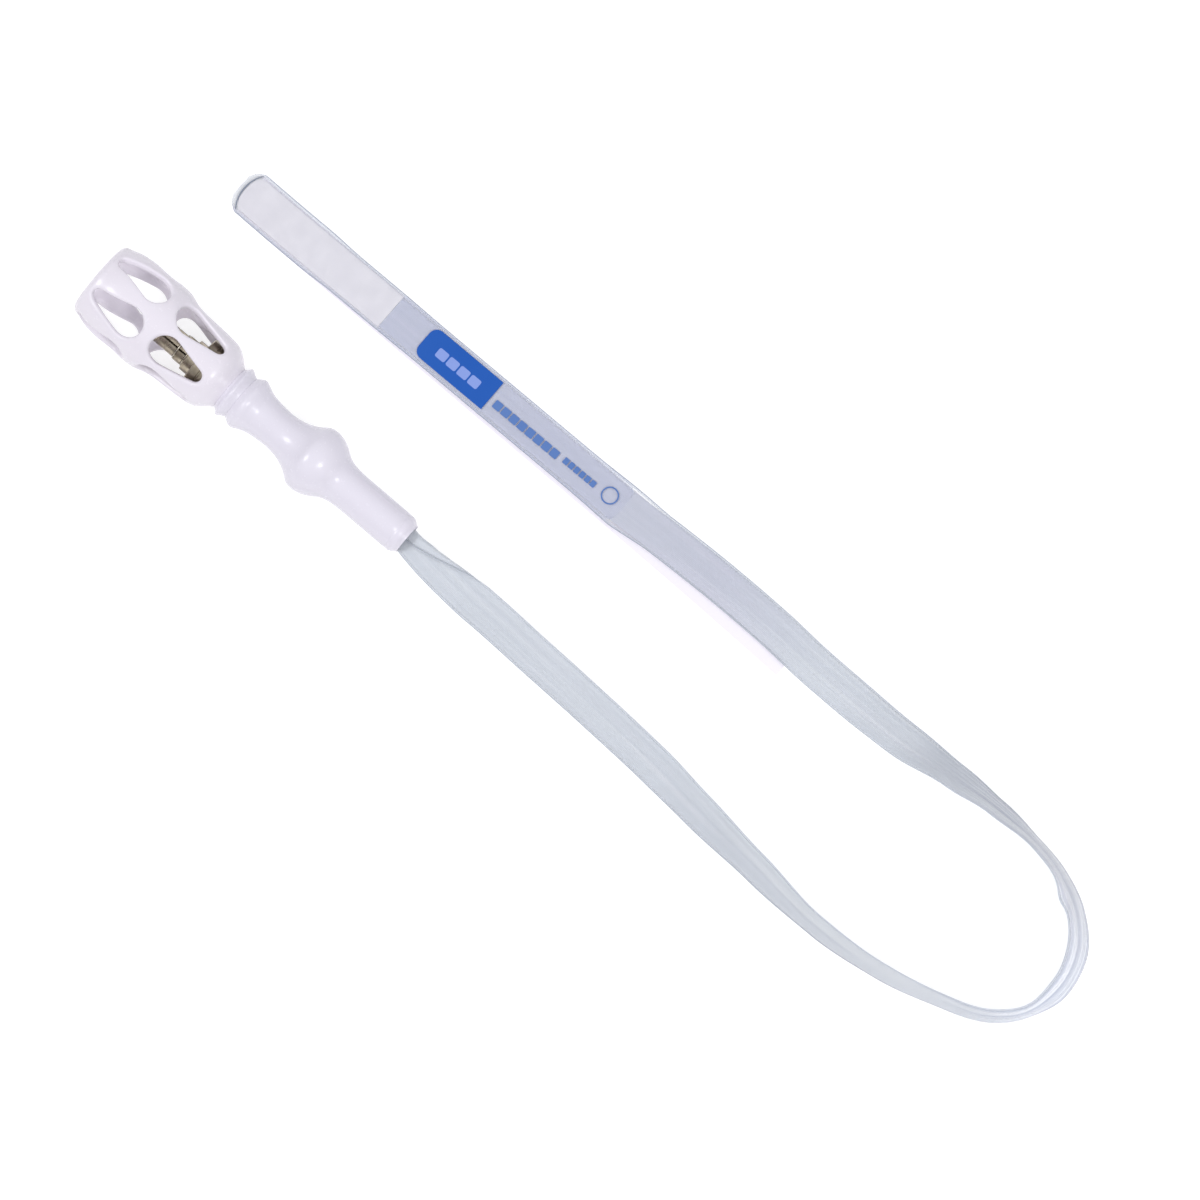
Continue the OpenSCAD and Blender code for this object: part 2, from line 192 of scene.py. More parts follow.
class Look:
    """A material and short calls for the nodes that the materials here share."""

    def __init__(self, name, roughness, coords="Object", **values):
        self.material = bpy.data.materials.new(name)
        self.material.use_nodes = True
        self.tree = self.material.node_tree
        self.shader = self.tree.nodes["Principled BSDF"]
        self.coords = self.node("ShaderNodeTexCoord").outputs[coords]
        self.set("Roughness", roughness)
        for key, value in values.items():
            self.set(key.replace("_", " ").title().replace("Ior", "IOR"), value)

    def node(self, kind, **settings):
        made = self.tree.nodes.new(kind)
        for key, value in settings.items():
            setattr(made, key, value)
        return made

    def set(self, name, value):
        """Gives an input of the shader a value or a link."""
        if isinstance(value, bpy.types.NodeSocket):
            self.tree.links.new(value, self.shader.inputs[name])
        else:
            self.shader.inputs[name].default_value = value

    def join(self, value, target):
        if isinstance(value, bpy.types.NodeSocket):
            self.tree.links.new(value, target)
        else:
            target.default_value = value

    def stretched(self, scale):
        mapping = self.node("ShaderNodeMapping")
        self.tree.links.new(self.coords, mapping.inputs["Vector"])
        mapping.inputs["Scale"].default_value = scale
        return mapping.outputs[0]

    def noise(self, scale, detail=2, stretch=(1, 1, 1)):
        texture = self.node("ShaderNodeTexNoise")
        texture.inputs["Scale"].default_value = scale
        texture.inputs["Detail"].default_value = detail
        self.tree.links.new(self.stretched(stretch), texture.inputs["Vector"])
        return texture.outputs["Fac"]

    def part(self, axis):
        """One coordinate, 0 for X, 1 for Y and 2 for Z."""
        split = self.node("ShaderNodeSeparateXYZ")
        self.tree.links.new(self.coords, split.inputs[0])
        return split.outputs[axis]

    def math(self, operation, a, b=0.0):
        made = self.node("ShaderNodeMath", operation=operation)
        self.join(a, made.inputs[0])
        self.join(b, made.inputs[1])
        return made.outputs[0]

    def ramp(self, value, stops):
        """Colours or greys by value: stops are (place, colour or grey)."""
        made = self.node("ShaderNodeValToRGB")
        self.tree.links.new(value, made.inputs[0])
        elements = made.color_ramp.elements
        while len(elements) < len(stops):
            elements.new(0.5)
        for element, (place, tone) in zip(elements, stops):
            element.position = place
            element.color = linear(tone) if isinstance(tone, str) else (tone, tone, tone, 1)
        return made.outputs[0]

    def mix(self, share, a, b, blend="MIX"):
        made = self.node("ShaderNodeMix", data_type="RGBA", blend_type=blend)
        self.join(share, made.inputs["Factor"])
        self.join(linear(a) if isinstance(a, str) else a, made.inputs[6])
        self.join(linear(b) if isinstance(b, str) else b, made.inputs[7])
        return made.outputs[2]

    def facing(self, blend):
        made = self.node("ShaderNodeLayerWeight")
        made.inputs["Blend"].default_value = blend
        return made.outputs["Facing"]

    def bump(self, height, distance, strength=1.0):
        made = self.node("ShaderNodeBump")
        made.inputs["Strength"].default_value = strength
        made.inputs["Distance"].default_value = distance
        self.tree.links.new(height, made.inputs["Height"])
        self.set("Normal", made.outputs[0])


def white_plastic(name, light, dark):
    """Moulded plastic: a faint change of tone across the part, and a very fine orange peel."""
    look = Look(name, 0.2, subsurface_weight=0.08, subsurface_scale=0.001, ior=1.46)
    look.set("Subsurface Radius", (1, 1, 1))
    look.set("Base Color", look.mix(look.noise(45, 3), light, dark))
    look.set("Roughness", look.ramp(look.noise(900, 2), [(0.3, 0.22), (0.7, 0.28)]))
    look.bump(look.noise(700, 1), 0.00001, 0.3)
    return look.material


def turned_metal(name, light, dark, roughness):
    """Lathe-turned nickel: fine rings round the axis and a little tarnish."""
    look = Look(name, roughness, metallic=1.0)
    rings = look.noise(1, 2, (9000, 150, 150))
    stain = look.noise(330, 4)
    look.set("Base Color", look.mix(look.ramp(stain, [(0.35, 0.0), (0.65, 1.0)]), light, dark))
    look.set("Roughness", look.ramp(stain, [(0.3, roughness - 0.06), (0.7, roughness + 0.1)]))
    look.bump(rings, 0.00003, 0.6)
    return look.material


def dull_metal(name, light, dark, roughness):
    look = Look(name, roughness, metallic=0.9)
    look.set("Base Color", look.mix(look.noise(500, 3), light, dark))
    look.bump(look.noise(2500, 2), 0.00002, 0.4)
    return look.material


def soft_plastic(name, light, dark, roughness, grain=800):
    look = Look(name, roughness)
    look.set("Base Color", look.mix(look.noise(grain / 8, 3), light, dark))
    look.bump(look.noise(grain, 3), 0.00003, 0.5)
    return look.material


# In the flat coordinates of the ribbon and the mat, X runs from 0 to 1 across and Y is the
# distance along, in decimetres
def fibre_look():
    """Clear fibres side by side: cool grey, with streaks of light and shade along them."""
    look = Look("ribbon_fibres", 0.32, coords="UV", coat_weight=0.3, coat_roughness=0.15)
    broad = look.noise(1, 3, (5, 1.2, 1))
    fine = look.noise(1, 2, (60, 1.5, 1))
    tone = look.ramp(broad, [(0.3, "#CFD3DA"), (0.5, "#D3D7DD"), (0.72, "#DADCE2")])
    streaks = look.ramp(fine, [(0.35, "#F8F9FB"), (0.6, "#FFFFFF")])
    # In the bend, painted highlight and painted shade streaks where the ribbon buckles, with a
    # painted highlight across its middle, and a cooler tone towards the mat. Here along is in
    # metres.
    painted_bend_streaks = look.ramp(look.noise(1, 3, (12, 0.5, 1)),
                      [(0.36, "#979DB2"), (0.5, "#B6BBCB"), (0.57, "#D0D3DF"), (0.61, "#FFFFFF")])
    along = look.math("MULTIPLY", look.part(1), 0.1)
    # A painted highlight: a pale lavender patch mixed into the bend's streaks across its middle
    painted_bend_streaks = look.mix(look.ramp(along, [(0.27, 0.0), (0.3, 0.45), (0.315, 0.45), (0.335, 0.0)]),
                     painted_bend_streaks, "#F6F3F9")
    # How much of the painted highlight and shade streaks shows, most of it in the bend
    painted_streak_share = look.ramp(along, [(0.22, 0.0), (0.26, 0.8), (0.33, 0.8), (0.38, 0.0)])
    tone = look.mix(0.7, tone, streaks, "MULTIPLY")
    tone = look.mix(1.0, tone, look.ramp(along, [(0.42, "#FFFFFF"), (0.46, "#F0EEF6")]), "MULTIPLY")
    look.set("Base Color", look.mix(painted_streak_share, tone, painted_bend_streaks))
    look.bump(fine, 0.00002, 0.3)
    return look.material


def film_look(name, haze, tints, band, weld, low_angle):
    """Clear film: a hazy sheen in long streaks that fade out over the mat, more solid where it is
    seen at a low angle. Its welded edges are a band of three tones given by band; the sleeve's
    band is a pale painted highlight inside a dark painted shade at the rim. The band is as solid
    as weld says, and more so on the ribbon."""
    look = Look(name, 0.16, coords="UV", ior=1.45)
    across = look.part(0)
    along = look.math("MULTIPLY", look.part(1), 0.1)
    in_ribbon = look.ramp(along, [(0.44, 1.0), (0.5, 0.15)])
    streaks = look.math("SUBTRACT", look.noise(1, 3, (14, 0.8, 1)), 0.5)
    streaks = look.math("ADD", look.math("MULTIPLY", streaks, in_ribbon), 0.5)
    from_edge = look.math("MULTIPLY", look.math("ABSOLUTE", look.math("SUBTRACT", across, 0.5)), 2)
    middle = look.ramp(streaks, list(zip((0.38, 0.5, 0.62), tints)))
    # The edge band: for the sleeve, a pale painted highlight inside a dark painted shade at the rim
    edges = look.ramp(from_edge, list(zip((0.9, 0.95, 0.98), band)))
    edges = look.mix(in_ribbon, edges, "#CBD0DA")
    look.set("Base Color", look.mix(look.ramp(from_edge, [(0.86, 0.0), (0.9, 1.0)]), middle, edges))
    firm = look.math("ADD", look.math("MULTIPLY", in_ribbon, 0.35), weld)
    solid = look.ramp(from_edge, [(0.86, 0.0), (0.9, 0.4), (0.95, 0.35), (0.98, 1.0)])
    solid = look.math("MULTIPLY", solid, firm)
    cloudy = look.math("ADD", look.math("MULTIPLY", streaks, 0.02), haze)
    sheen = look.math("MULTIPLY", look.facing(0.35), low_angle)
    look.set("Alpha", look.math("MAXIMUM", look.math("ADD", cloudy, sheen), solid))
    look.bump(streaks, 0.0001, 0.3)
    return look.material


def panel_look():
    """Woven light-emitting panel: crossing fibres at an even pitch, paler and darker in patches."""
    look = Look("panel_weave", 0.5, coords="UV")
    weave = look.node("ShaderNodeTexWave", wave_type="BANDS", bands_direction="Y")
    weave.inputs["Scale"].default_value = 22
    weave.inputs["Distortion"].default_value = 3
    look.tree.links.new(look.coords, weave.inputs["Vector"])
    strands = look.node("ShaderNodeTexWave", wave_type="BANDS", bands_direction="X")
    strands.inputs["Scale"].default_value = 14
    look.tree.links.new(look.coords, strands.inputs["Vector"])
    patches = look.noise(1, 4, (2.5, 20, 1))
    tone = look.ramp(patches, [(0.3, "#DFDCE2"), (0.7, "#E7E4E9")])
    crossing = look.math("MULTIPLY", weave.outputs["Fac"], strands.outputs["Fac"])
    look.set("Base Color", look.mix(look.math("MULTIPLY", crossing, 0.1), tone, "#DCDAE4"))
    look.bump(crossing, 0.00002, 0.4)
    return look.material


def print_look(name, low, high, roughness=0.3):
    """Printed ink, a little uneven, with a faint screen grain."""
    look = Look(name, roughness, ior=1.25)
    look.set("Base Color", look.mix(look.noise(60, 3), low, high))
    look.bump(look.noise(4000, 2), 0.00001, 0.4)
    return look.material


CAGE_PLASTIC = white_plastic("cage_plastic", "#E7E2EB", "#E3DDE7")
GRIP_PLASTIC = white_plastic("grip_plastic", "#E2DEE9", "#DDD9E5")
COLLET_METAL = turned_metal("collet_metal", "#B5AA98", "#867C6C", 0.28)
HUB_METAL = turned_metal("hub_metal", "#A99F8E", "#857B6C", 0.34)
SPRING_WIRE = dull_metal("spring_wire", "#C9C2B4", "#A39B8C", 0.25)
CLIP_STEEL = dull_metal("clip_steel", "#77777C", "#5E5E63", 0.35)
FERRULE_METAL = dull_metal("ferrule_metal", "#D2D2D6", "#B4B4BA", 0.3)
BUNDLE_FIBRES = soft_plastic("bundle_fibres", "#E0E4EA", "#CCD2DC", 0.25, 2500)
SHRINK_SLEEVE = soft_plastic("shrink_sleeve", "#2B2B2E", "#1F1F22", 0.6)
POTTING_RESIN = soft_plastic("potting_resin", "#EAE7E0", "#DDD9CF", 0.4)
REFLECTOR = soft_plastic("reflector_film", "#F4F4F6", "#ECECF0", 0.25)
ADHESIVE = soft_plastic("adhesive", "#FAFAFA", "#F4F4F5", 0.35)
SEAL_STRIP = soft_plastic("seal_strip", "#7F889C", "#6F788C", 0.4)
LINER_FILM = soft_plastic("liner_film", "#F4F0F8", "#EFEAF4", 0.35, 300)
FIBRES = fibre_look()
# The sleeve's edge band: a painted highlight line inside and a painted shade at its rim
CLEAR_FILM = film_look("clear_film", 0.05, ("#CDD2DE", "#DDE1EA", "#F3F5F9"),
                       ("#E0E4EE", "#D6DBE6", "#A9B0C2"), 0.5, 0.4)
LABEL_CLEAR = film_look("label_clear", 0.012, ("#98A2F0", "#A0AAF6", "#A8B2FA"),
                        ("#BCC3DE", "#C4CAE2", "#CCD1E6"), 0.3, 0.02)
PANEL_WEAVE = panel_look()
PRINT_BLUE = print_look("print_blue", "#1C55AE", "#275DB4")
PRINT_DARK = print_look("print_dark_blue", "#5576B4", "#6080BC")
PRINT_PALE = print_look("print_pale", "#8197DA", "#8FA3E0")


# ---- heat-shield cage ----
CAGE_MOUTH_R = 2.6                  # rounding of the mouth
CAGE_MOUTH_Y = 10.8                 # radius at which that rounding is centred
CAGE_SIDE = smooth([(2.6, 13.4), (6.5, 14.7), (11, 15.35), (16, 15.5), (22, 15.4), (26.5, 15.1),
                    (30, 14.4), (36, 13.6), (45, 12.8), (49.2, 12.1), (51.6, 10.8), (53.6, 9.0),
                    (55.2, 7.7)])
CAGE_INSIDE = smooth([(0.9, 9.9), (1.8, 9.9), (5, 11.4), (11, 13.0), (18, 13.2), (26, 12.8),
                      (33, 11.5), (45, 10.4), (48.5, 9.8)])
CAGE_BORE_R = 6.5
CAGE_END, CAGE_FLOOR = 55.2, 48.5
SLOT_COUNT, SLOT_TURN = 6, 28
SLOT_ROWS = [[(2.9, 2.3), (22.8, 5.4)], [(27.5, 5.3), (47.2, 2.4)]]  # [outer end, end radius] x 2
OUTER_EDGES = [0.9, 25.15, 49.6]    # where the patches round the slots begin and end, outside
INNER_EDGES = [1.5, 25.15, 48.4]    # and inside
LIP_OUT, LIP_IN = 1.1, 0.7          # rounding of the slots' edges
END_STEPS, SIDE_STEPS = 14, 18
PATCH_RINGS = [0, 0.25, 0.5, 0.75]


def cage_outside(x):
    """The cage's outer radius at x."""
    if x < CAGE_MOUTH_R:
        return CAGE_MOUTH_Y + math.sqrt(CAGE_MOUTH_R ** 2 - (CAGE_MOUTH_R - x) ** 2)
    return height_of(CAGE_SIDE, x)


def cage_hollow(x):
    """The radius of the cage's inside at x."""
    return height_of(CAGE_INSIDE, x)


def even_points(line, steps):
    """Points at even distances along a line."""
    lengths = [0]
    for (x0, y0), (x1, y1) in zip(line, line[1:]):
        lengths.append(lengths[-1] + math.hypot(x1 - x0, y1 - y0))
    points = []
    for k in range(steps + 1):
        wanted = lengths[-1] * k / steps
        i = next(i for i in range(1, len(line)) if lengths[i] >= wanted - 1e-9)
        share = (wanted - lengths[i - 1]) / (lengths[i] - lengths[i - 1])
        points.append(tuple(a + (b - a) * share for a, b in zip(line[i - 1], line[i])))
    return points


def slot_loop(row, grow):
    """Points round a slot, grown by some distance, in four runs: its end near the mouth, its far
    side, its other end and its near side."""
    (start, radius_a), (end, radius_b) = row
    xa, xb = start + radius_a, end - radius_b
    lean = math.degrees(math.asin((radius_b - radius_a) / (xb - xa)))
    radius_a, radius_b = radius_a + grow, radius_b + grow
    first_end = arc(xa, 0, radius_a, 250, 110, END_STEPS)
    last_end = arc(xb, 0, radius_b, 70, -70, END_STEPS)
    side = even_points(arc(xa, 0, radius_a, 110, 90 + lean, 6)
                       + arc(xb, 0, radius_b, 90 + lean, 70, 6), SIDE_STEPS)
    other = [(x, -y) for x, y in reversed(side)]
    return first_end[:-1] + side[:-1] + last_end[:-1] + other[:-1]


def patch_loop(x0, x1):
    """The edge of the patch round a slot, as (x, angle), in the same four runs."""
    wide = math.pi / SLOT_COUNT
    ends = [-wide + 2 * wide * k / END_STEPS for k in range(END_STEPS)]
    sides = [x0 + (x1 - x0) * k / SIDE_STEPS for k in range(SIDE_STEPS)]
    return ([(x0, a) for a in ends] + [(x, wide) for x in sides]
            + [(x1, -a) for a in ends] + [(x0 + x1 - x, -wide) for x in sides])


def slope_stretch(surface, x, step=0.2):
    """How much longer a radial step is than the same step along the surface's normal."""
    return math.hypot(1, (surface(x + step) - surface(x - step)) / (2 * step))


def slot_rings(row, outer_edge, inner_edge):
    """The loops of points (x, radius, angle) from a patch's outer edge through the slot's rounded
    lip and wall to the patch's inner edge."""
    def on_surface(x, y, radius):
        return (x, radius, math.asin(max(-1, min(1, y / radius))))

    def spread(surface, edge, grow):
        near = [on_surface(x, y, surface(x)) for x, y in slot_loop(row, grow)]
        return [[(ex + (nx - ex) * t, surface(ex + (nx - ex) * t), ea + (na - ea) * t)
                 for (ex, ea), (nx, _, na) in zip(patch_loop(*edge), near)] for t in PATCH_RINGS]

    rings = spread(cage_outside, outer_edge, LIP_OUT)
    for degrees in (0, 22.5, 45, 67.5, 90):
        a = math.radians(degrees)
        rings.append([on_surface(x, y, cage_outside(x)
                                 - LIP_OUT * (1 - math.cos(a)) * slope_stretch(cage_outside, x))
                      for x, y in slot_loop(row, LIP_OUT * (1 - math.sin(a)))])
    for degrees in (0, 30, 60, 90):
        a = math.radians(degrees)
        rings.append([on_surface(x, y, cage_hollow(x) + LIP_IN * (1 - math.sin(a)))
                      for x, y in slot_loop(row, LIP_IN * (1 - math.cos(a)))])
    return rings + list(reversed(spread(cage_hollow, inner_edge, LIP_IN)))


def add_cage():
    """The shield: a patch round each slot, joined by the mouth in front and the rear behind."""
    points, faces = [], []

    def join_loops(loops, closed):
        start, size = len(points), len(loops[0])
        for loop in loops:
            points.extend(round_point(*p) for p in loop)
        for k in range(len(loops) - 1):
            for i in range(size if closed else size - 1):
                a, b = start + k * size + i, start + k * size + (i + 1) % size
                faces.append((a, b, b + size, a + size))

    for k in range(SLOT_COUNT):
        turn = math.radians(SLOT_TURN + 360 * k / SLOT_COUNT)
        for n, row in enumerate(SLOT_ROWS):
            rings = slot_rings(row, OUTER_EDGES[n:n + 2], INNER_EDGES[n:n + 2])
            join_loops([[(x, r, a + turn) for x, r, a in ring] for ring in rings], True)

    # The mouth in front of the patches, and the rear with its bore behind them
    first = math.degrees(math.acos((OUTER_EDGES[0] - CAGE_MOUTH_R) / CAGE_MOUTH_R))
    mouth = (arc(CAGE_MOUTH_R, CAGE_MOUTH_Y, CAGE_MOUTH_R, first, 180, 6)
             + arc(0.9, CAGE_MOUTH_Y, 0.9, 180, 270, 5)[1:]
             + [(INNER_EDGES[0], cage_hollow(INNER_EDGES[0]))])
    back = [x for x, _ in CAGE_SIDE if x > OUTER_EDGES[2]]
    rear = ([(OUTER_EDGES[2], cage_outside(OUTER_EDGES[2]))] + [(x, cage_outside(x)) for x in back]
            + [(CAGE_END, CAGE_BORE_R + 0.2), (CAGE_END - 0.2, CAGE_BORE_R),
               (CAGE_FLOOR, CAGE_BORE_R), (CAGE_FLOOR, cage_hollow(CAGE_FLOOR) - 0.3),
               (INNER_EDGES[2], cage_hollow(INNER_EDGES[2]))])
    around = [math.radians(SLOT_TURN) + math.pi / SLOT_COUNT * (2 * k / END_STEPS - 1)
              for k in range(SLOT_COUNT * END_STEPS)]
    for outline in (mouth, rear):
        join_loops([[(x, r, a) for a in around] for x, r in outline], True)
    return add_mesh("cage_shell", points, faces, CAGE_PLASTIC, "socket_head",
                    ["heat_shield_cage"], CONNECTOR)


cage = add_cage()


# ---- collet, hub and grip ----
COLLET_R, COLLET_BORE, SLIT_W = 4.3, 3.5, 0.7
FINGERS, FINGER_TURN = 4, 20        # how many, and how far the first slit is turned, in degrees
SPRING_X, SPRING_WIRE_R = (34.8, 38.3), 0.3
SLIT_END = 38
FOOT_BORE = 3.05


def add_collet():
    """Four springy fingers on one foot, with a groove for each wire ring."""
    finger = [(24.5, COLLET_BORE), (24.1, COLLET_BORE + 0.4), (24.3, COLLET_R - 0.1),
              (24.6, COLLET_R), (27.2, COLLET_R), (27.35, COLLET_R - 0.12),
              (27.65, COLLET_R - 0.12), (27.8, COLLET_R), (30.6, COLLET_R),
              (30.75, COLLET_R - 0.12), (31.05, COLLET_R - 0.12), (31.2, COLLET_R),
              (34.4, COLLET_R), (34.5, COLLET_R - 0.25), (35.1, COLLET_R - 0.25),
              (35.2, COLLET_R + 0.5), (37.9, COLLET_R + 0.5), (37.96, COLLET_R - 0.05),
              (SLIT_END, COLLET_R - 0.05), (SLIT_END, COLLET_BORE)]
    foot = [(SLIT_END, COLLET_R), (38.6, COLLET_R), (38.7, COLLET_R + 1.4), (38.8, COLLET_R + 1.5),
            (41.9, COLLET_R + 1.5), (42, COLLET_R + 1.4), (42, FOOT_BORE), (SLIT_END, FOOT_BORE)]
    points, faces = [], []
    steps = 16
    for k in range(FINGERS):
        start = len(points)
        low, high = (math.radians(FINGER_TURN + 360 / FINGERS * n) for n in (k, k + 1))
        for n in range(steps + 1):
            for x, radius in finger:
                gap = math.asin(SLIT_W / 2 / radius)
                angle = low + gap + (high - low - 2 * gap) * n / steps
                points.append(round_point(x, radius, angle))
        size = len(finger)
        for n in range(steps):
            for i in range(size):
                a, b = start + n * size + i, start + n * size + (i + 1) % size
                faces.append((a, b, b + size, a + size))
        faces.append(tuple(start + i for i in range(size)))
        faces.append(tuple(start + steps * size + i for i in range(size)))
    around = 64
    faces += closed_grid(len(points), around, len(foot))
    for n in range(around):
        points.extend(round_point(x, r, 2 * math.pi * n / around) for x, r in foot)
    return add_mesh("slit_collet", points, faces, COLLET_METAL, "socket_head",
                    ["socket_collet"], CONNECTOR, 30)


def add_spring_rings():
    """Two wire rings that hold the fingers together."""
    points, faces = [], []
    around, section = 64, 10
    for x, radius in zip(SPRING_X, (COLLET_R + 0.15, COLLET_R + 0.35)):
        faces += closed_grid(len(points), around, section)
        for n in range(around):
            # The wire is wound a little unevenly, with its ends side by side
            wobble = 0.12 * math.sin(2 * math.pi * n / around)
            points.extend(round_point(px + wobble, pr, 2 * math.pi * n / around)
                          for px, pr in arc(x, radius, SPRING_WIRE_R, 0, 360, section)[:-1])
    return add_mesh("collet_wire_rings", points, faces, SPRING_WIRE, "socket_head",
                    ["collet_springs"], CONNECTOR, 80)


collet = add_collet()
rings = add_spring_rings()

hub = add_turned("hub_flange", [(42.05, 3.08), (42.05, 4.6), (42.35, 4.9), (42.35, 8.2),
                                (42.05, 8.5), (42.05, 8.9), (42.45, 9.3), (44.9, 9.3), (45.1, 9.1),
                                (45.5, 9.1), (45.7, 9.3), (48.3, 9.3), (48.5, 9.1), (48.5, 6.45),
                                (55.1, 6.45), (55.1, 4.15), (66.4, 4.15), (66.4, 3.6), (67.2, 3.6),
                                (67.2, 4.15), (68, 4.15), (68, 3.08)],
                 HUB_METAL, "socket_head", ["socket_hub"], sharp=30)

collar = add_turned("collar_band", [(55.22, 4.23), (55.22, 7.68)]
                    + smooth([(55.26, 7.72), (56.0, 8.2), (56.7, 9.05), (57.2, 9.38), (57.8, 9.15),
                              (58.8, 8.45), (60.02, 7.92)], 4) + [(60.08, 7.88), (60.08, 4.23)],
                    GRIP_PLASTIC, "grip", ["collar_ring"])

GRIP_SIDE = smooth([(60.1, 7.9), (62.3, 9.3), (63.4, 9.4), (65.4, 8.5), (68, 7.5), (72, 6.9),
                    (76, 6.7), (80, 7.1), (83.4, 8.2), (86, 9.6), (88.3, 11.3), (91, 11.8),
                    (94, 11.3), (97, 9.9), (99.4, 8.3), (101.6, 7.4), (105, 6.9), (110, 6.8)])
GRIP_END, TAIL_R, GRIP_BORE, FRONT_BORE = 130, 6.8, 5.2, 4.23
# The mould's seam: where it begins, the length over which it rises and the least radius it is on
SEAM_START, SEAM_RISE, SEAM_R = 104, 8, 6
SEAM_TURN, SEAM_WIDTH, SEAM_HEIGHT = 318, 0.045, 0.07  # degrees, radians, millimetres


def parting_line(x, radius, angle):
    """A faint raised seam from the mould along the tail, on the side towards +Y."""
    if x < SEAM_START or radius < SEAM_R:
        return 0
    strength = min(1, (x - SEAM_START) / SEAM_RISE)
    off = math.sin((angle - math.radians(SEAM_TURN)) / 2) * 2
    return SEAM_HEIGHT * strength * math.exp(-(off / SEAM_WIDTH) ** 2)


grip = add_turned("grip_shell", [(60.1, FRONT_BORE)] + GRIP_SIDE
                  + [(x, TAIL_R) for x in (113, 116, 119, 122)]
                  + [(125.6, TAIL_R), (125.75, TAIL_R - 0.1), (126.1, TAIL_R - 0.1),
                     (126.25, TAIL_R - 0.02)]
                  + arc(126.6, 3.4, 3.4, 90, 40, 6) + [(129.6, 5.4), (GRIP_END, 5.3)]
                  + [(GRIP_END, GRIP_BORE), (120, GRIP_BORE), (66.25, GRIP_BORE),
                     (66.25, FRONT_BORE)],
                  GRIP_PLASTIC, "grip", ["grip_body"], around=180, swell=parting_line)


# ---- the route of the ribbon ----
# The same points as the CAD's route, in metres: x, y, height of the lower edge over the table,
# and roll in degrees. The first is just behind the end of the round fibre bundle.
PLUG_END = 124
ROUTE = [(on_axis(PLUG_END + 0.4).x * MM, 0, 0.009, 0), (0.0625, 0, 0.0089, 0),
         (0.068, -0.0011, 0.0086, 4), (0.080, -0.0017, 0.0072, 12), (0.097, -0.0013, 0.0035, 22),
         (0.122, -0.0018, 0.0006, 24), (0.148, -0.0027, 0, 26), (0.173, -0.0041, 0, 28),
         (0.191, -0.006, 0, 37), (0.218, -0.0085, 0, 52), (0.245, -0.0105, 0, 67),
         (0.270, -0.0085, 0, 74), (0.291, -0.0034, 0, 79), (0.3055, 0.0023, 0, 81),
         (0.3147, 0.0116, 0, 83), (0.318, 0.025, 0, 66), (0.3142, 0.0382, 0, 61),
         (0.305, 0.0477, 0, 64), (0.294, 0.053, 0, 66), (0.282, 0.0556, 0, 68),
         (0.265, 0.0563, 0, 56), (0.248, 0.0555, 0, 41), (0.225, 0.054, 0, 15),
         (0.203, 0.054, 0, 3), (0.188, 0.0543, 0, 2), (0.173, 0.0552, 0, 0),
         (0.150, 0.0555, 0, 0), (0.130, 0.055, 0, 0), (0.115, 0.0543, 0, 0), (0.110, 0.054, 0, 0)]
RIBBON_W, MAT_W, PANEL_W, LINER_W = 13.4, 14.4, 12.7, 15
MAT_Y = 54
LINER_SHIFT, LINER_SKEW = 0.5, 0.005  # the liner lies off the mat's middle and at a slight angle
LINER_SWING = 25                    # the lower, the sooner the liner's free end turns away
LABEL_END, PANEL_END, TIP_X, PANEL_TIP, LINER_END = 110, 12, -52, -49.3, 182.5
TIP_ARC_R, CURL_START, TIP_CURL = 9.3, -26, 2.4
TIP_REACH = 14                      # how far from the tip the layers' rows bend round to its arc
FILM_LOW = 0.4                      # the sleeve's underside over the table, in the mat
MID_Z = 0.93                        # and its middle
GATHER_X, GATHER_LEN, GATHER_SHARE = 65, 32, 0.62
FOLD_R = 0.5                        # radius of the fold where the sleeve is gathered at the exit
RING_STEP = 2.2
CREASES = [(307, 1.4, 4), (317, -0.4, 5)]  # dents in the bend's inner edge: along, depth, width
BOW_AT, BOW_DEPTH, BOW_LEN = 285, 0.8, 55  # how the ribbon bows across in the bend
WIDEN_LEN = 12                      # before the label, where the sleeve widens to the mat's width


def full_share(x, y):
    """How much of the flat sleeve's width shows: less where it is folded at the exit."""
    if y > MAT_Y / 2 or x > GATHER_X + GATHER_LEN:
        return 1
    return GATHER_SHARE + (1 - GATHER_SHARE) * max(0, (x - GATHER_X) / GATHER_LEN)


def ease(share):
    """Goes from 0 to 1 as share does, level at both ends."""
    share = max(0, min(1, share))
    return share * share * (3 - 2 * share)


def bell(value, middle, width):
    return math.exp(-((value - middle) / width) ** 2)


def ribbon_places():
    """(place, roll, share) along the route, a ring step apart."""
    route = [(x / MM, y / MM, lift / MM, roll) for x, y, lift, roll in ROUTE]
    flat = [Vector((x, y)) for x, y, _, _ in route]
    places = []
    for i in range(len(route) - 1):
        steps = max(1, round((flat[i + 1] - flat[i]).length / RING_STEP))
        for k in range(steps):
            u = k / steps
            p = spline_at(flat, i, u)
            lift = route[i][2] + (route[i + 1][2] - route[i][2]) * ease(u)
            roll = math.radians(route[i][3] + (route[i + 1][3] - route[i][3]) * ease(u))
            share = full_share(p.x, p.y)
            z = (FILM_LOW + lift + RIBBON_W / 2 * share * math.sin(roll)
                 + (MID_Z - FILM_LOW) * math.cos(roll))
            places.append((Vector((p.x, p.y, z)), roll, share))
    return places


